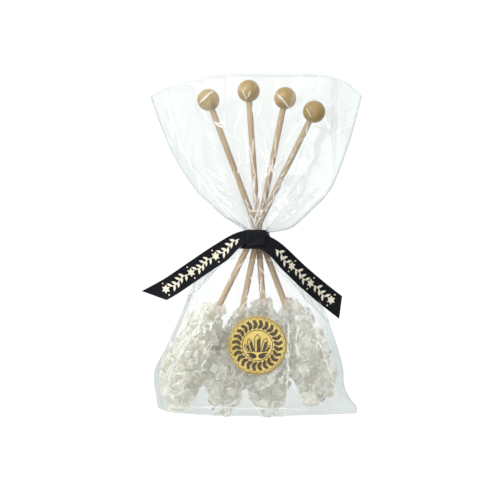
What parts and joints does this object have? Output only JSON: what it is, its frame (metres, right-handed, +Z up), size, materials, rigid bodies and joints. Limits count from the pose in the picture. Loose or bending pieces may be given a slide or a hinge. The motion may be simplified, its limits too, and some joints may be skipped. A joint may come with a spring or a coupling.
{
  "type": "bag of rock candy sticks",
  "caption": "Clear gathered bag of rock candy on wooden sticks with round wooden beads, tied at the neck with a flat satin ribbon and closed with a round label.",
  "frame": {"origin": "middle of the pack's outline seen from above, at the level of the table it lies on", "axes": "+X across the bag, +Y along it from the bottom seal to the open top, +Z up out of its front"},
  "size_m": [0.1104, 0.1714, 0.0319],
  "materials": {
    "film": "clear, glossy, creased",
    "stick_wood": "bare, smooth",
    "bead_wood": "lacquered",
    "ribbon_satin": "satin weave",
    "label_foil": "gold foil, satin"
  },
  "bodies": {
    "root": {"bag_pouch": "film", "bag_mouth": "film", "dowel_1": "stick_wood", "dowel_2": "stick_wood", "dowel_3": "stick_wood", "dowel_4": "stick_wood", "bead_1": "bead_wood", "bead_2": "bead_wood", "bead_3": "bead_wood", "bead_4": "bead_wood", "ribbon": "ribbon_satin", "label": "label_foil"}
  },
  "joints": []
}
